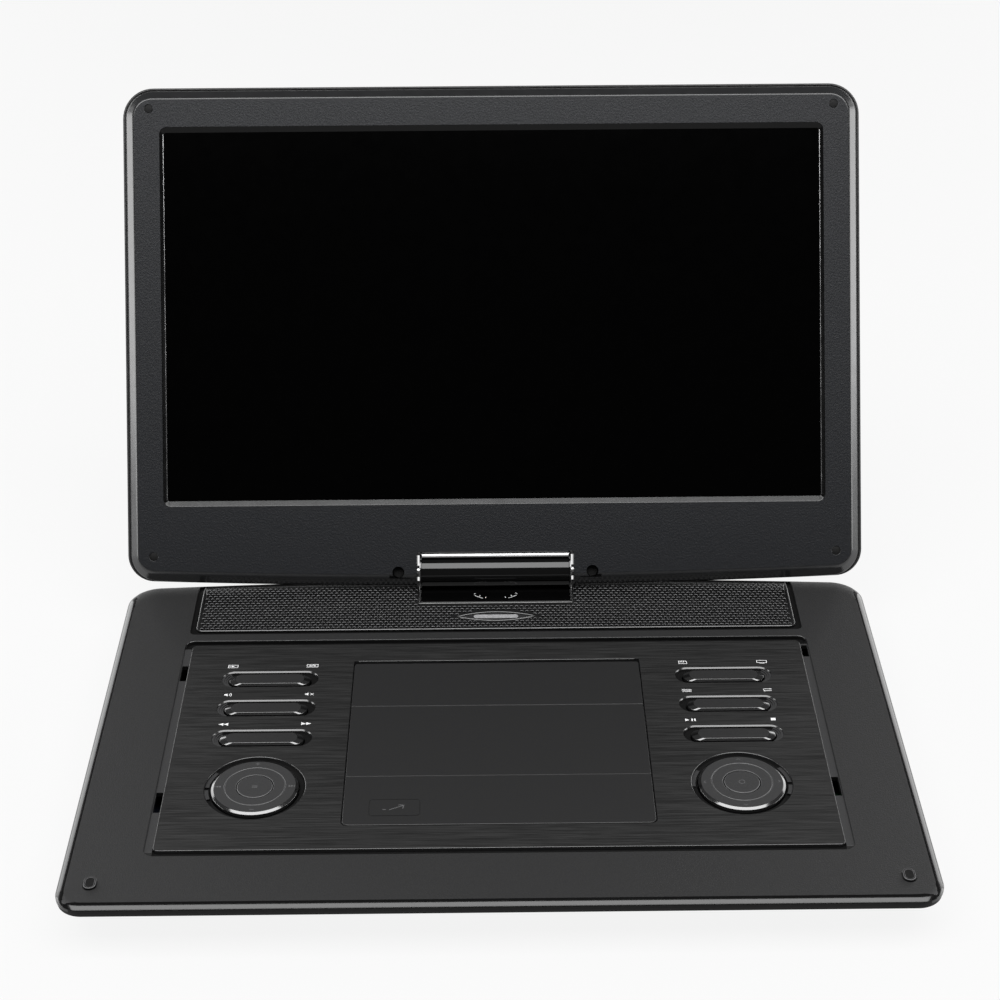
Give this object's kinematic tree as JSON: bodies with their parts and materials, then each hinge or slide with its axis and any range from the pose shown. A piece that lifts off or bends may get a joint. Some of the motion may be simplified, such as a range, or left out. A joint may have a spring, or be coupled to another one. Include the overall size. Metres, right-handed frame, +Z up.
{
  "type": "portable dvd player",
  "caption": "Portable disc player: flat base with a disc door, rocker keys, round pads and speaker grille, and a wide screen on a swivelling, tilting barrel hinge.",
  "frame": {"origin": "on the table surface, under the middle of the player as it stands open", "axes": "+X to the viewer's right, +Y to the back, +Z up"},
  "size_m": [0.387, 0.3841, 0.2585],
  "materials": {
    "case": "fine textured black plastic",
    "panel_brushed": "brushed black overlay, lines across the player",
    "door": "smooth satin black",
    "grille": "perforated black steel",
    "badge": "satin blank plate",
    "gloss_black": "polished black",
    "key_black": "polished dark plastic",
    "well": "moulded black",
    "rubber": "black rubber",
    "silicone": "grey silicone",
    "steel": "plated steel",
    "board": "solder-masked circuit board",
    "cell_wrap": "shrink wrap",
    "cone": "paper cone",
    "jack_yellow": "moulded yellow plastic",
    "nylon": "natural nylon",
    "lens": "coated lens",
    "lcd": "dark display glass",
    "light_guide": "white acrylic sheet",
    "bezel": "fine grained dark grey plastic"
  },
  "bodies": {
    "base": {"bottom_case": "case", "top_case": "case", "control_panel": "panel_brushed", "speaker_grille": "grille", "grille_badge": "badge", "disc_well": "well", "rubber_feet": "rubber", "deck_bumpers": "rubber", "main_pcb": "board", "keypad_boards": "board", "battery_pack": "cell_wrap", "speakers": "cone", "traverse_deck": "steel", "deck_dampers": "rubber", "sled_rails": "steel", "spindle_motor": "steel", "sled_motor": "steel", "headphone_jack": "gloss_black", "av_jack": "jack_yellow", "dc_jack": "gloss_black", "usb_port": "steel", "card_slot": "steel", "hinge_plate": "gloss_black", "swivel_bracket": "steel", "base_screws": "steel", "door_pins": "steel", "door_spring": "steel"},
    "door": {"disc_door": "door"},
    "latch": {"door_latch": "nylon"},
    "hub": {"disc_hub": "steel"},
    "pickup": {"pickup_sled": "well", "pickup_lens": "lens"},
    "screw": {"lead_screw": "steel"},
    "power": {"power_knob": "key_black"},
    "swivel": {"hinge_barrel": "gloss_black", "swivel_post": "steel", "swivel_retainer": "steel", "tilt_clips": "steel"},
    "screen": {"screen_bezel": "bezel", "screen_back": "case", "lcd_panel": "lcd", "light_guide": "light_guide", "lcd_pan": "steel", "display_board": "board", "hinge_brackets": "steel", "tilt_shafts": "steel", "screen_screws": "steel", "screw_plugs": "rubber"},
    "key_left_front": {"key_left_front": "key_black"},
    "key_left_middle": {"key_left_middle": "key_black"},
    "key_left_rear": {"key_left_rear": "key_black"},
    "left_pad_dome": {"left_pad_dome": "silicone"},
    "left_pad_ring": {"left_pad_ring": "key_black"},
    "left_pad_button": {"left_pad_button": "key_black"},
    "key_right_front": {"key_right_front": "key_black"},
    "key_right_middle": {"key_right_middle": "key_black"},
    "key_right_rear": {"key_right_rear": "key_black"},
    "right_pad_dome": {"right_pad_dome": "silicone"},
    "right_pad_ring": {"right_pad_ring": "key_black"},
    "right_pad_button": {"right_pad_button": "key_black"}
  },
  "joints": [
    {"name": "screen_swivel", "type": "hinge", "parent": "base", "child": "swivel", "pos_m": [0, 0.0653, 0.0265], "axis": [0, 0, 1], "range_deg": [-180, 90]},
    {"name": "screen_tilt", "type": "hinge", "parent": "swivel", "child": "screen", "pos_m": [0, 0.0653, 0.0345], "axis": [-1, 0, 0], "range_deg": [-118.9, 61.1]},
    {"name": "door_open", "type": "hinge", "parent": "base", "child": "door", "pos_m": [0, -0.0097, 0.0233], "axis": [1, 0, 0], "range_deg": [-75, 0]},
    {"name": "latch_pull", "type": "slide", "parent": "base", "child": "latch", "axis": [0, -1, 0], "range_m": [0, 0.002], "stiffness_N_per_m": 400},
    {"name": "disc_spin", "type": "hinge", "parent": "base", "child": "hub", "pos_m": [0, -0.07235, 0.0185], "axis": [0, 0, 1], "continuous": true},
    {"name": "pickup_travel", "type": "slide", "parent": "base", "child": "pickup", "axis": [0, 1, 0], "range_m": [0, 0.0345]},
    {"name": "screw_turn", "type": "hinge", "parent": "base", "child": "screw", "pos_m": [0.0255, -0.0622, 0.0109], "axis": [0, 1, 0], "range_deg": [0, 4141]},
    {"name": "power_slide", "type": "slide", "parent": "base", "child": "power", "axis": [0, 1, 0], "range_m": [0, 0.004]},
    {"name": "key_left_front_rock", "type": "hinge", "parent": "base", "child": "key_left_front", "pos_m": [-0.1124, -0.071, 0.0225], "axis": [0, 1, 0], "range_deg": [-2, 2], "stiffness_Nm_per_rad": 0.7},
    {"name": "key_left_middle_rock", "type": "hinge", "parent": "base", "child": "key_left_middle", "pos_m": [-0.1124, -0.04645, 0.0225], "axis": [0, 1, 0], "range_deg": [-2, 2], "stiffness_Nm_per_rad": 0.7},
    {"name": "key_left_rear_rock", "type": "hinge", "parent": "base", "child": "key_left_rear", "pos_m": [-0.1124, -0.0219, 0.0225], "axis": [0, 1, 0], "range_deg": [-2, 2], "stiffness_Nm_per_rad": 0.7},
    {"name": "left_pad_tilt_front", "type": "hinge", "parent": "base", "child": "left_pad_dome", "pos_m": [-0.1124, -0.1088, 0.021], "axis": [1, 0, 0], "range_deg": [-1.5, 1.5], "stiffness_Nm_per_rad": 1},
    {"name": "left_pad_tilt_side", "type": "hinge", "parent": "left_pad_dome", "child": "left_pad_ring", "pos_m": [-0.1124, -0.1088, 0.021], "axis": [0, 1, 0], "range_deg": [-1.5, 1.5], "stiffness_Nm_per_rad": 1},
    {"name": "left_pad_press", "type": "slide", "parent": "base", "child": "left_pad_button", "axis": [0, 0, -1], "range_m": [0, 0.0008], "stiffness_N_per_m": 1800},
    {"name": "key_right_front_rock", "type": "hinge", "parent": "base", "child": "key_right_front", "pos_m": [0.1124, -0.071, 0.0225], "axis": [0, 1, 0], "range_deg": [-2, 2], "stiffness_Nm_per_rad": 0.7},
    {"name": "key_right_middle_rock", "type": "hinge", "parent": "base", "child": "key_right_middle", "pos_m": [0.1124, -0.04645, 0.0225], "axis": [0, 1, 0], "range_deg": [-2, 2], "stiffness_Nm_per_rad": 0.7},
    {"name": "key_right_rear_rock", "type": "hinge", "parent": "base", "child": "key_right_rear", "pos_m": [0.1124, -0.0219, 0.0225], "axis": [0, 1, 0], "range_deg": [-2, 2], "stiffness_Nm_per_rad": 0.7},
    {"name": "right_pad_tilt_front", "type": "hinge", "parent": "base", "child": "right_pad_dome", "pos_m": [0.1124, -0.1088, 0.021], "axis": [1, 0, 0], "range_deg": [-1.5, 1.5], "stiffness_Nm_per_rad": 1},
    {"name": "right_pad_tilt_side", "type": "hinge", "parent": "right_pad_dome", "child": "right_pad_ring", "pos_m": [0.1124, -0.1088, 0.021], "axis": [0, 1, 0], "range_deg": [-1.5, 1.5], "stiffness_Nm_per_rad": 1},
    {"name": "right_pad_press", "type": "slide", "parent": "base", "child": "right_pad_button", "axis": [0, 0, -1], "range_m": [0, 0.0008], "stiffness_N_per_m": 1800}
  ],
  "couplings": [
    {"joint": "screw_turn", "follows": "pickup_travel", "rad_per_m": 2094.4}
  ]
}
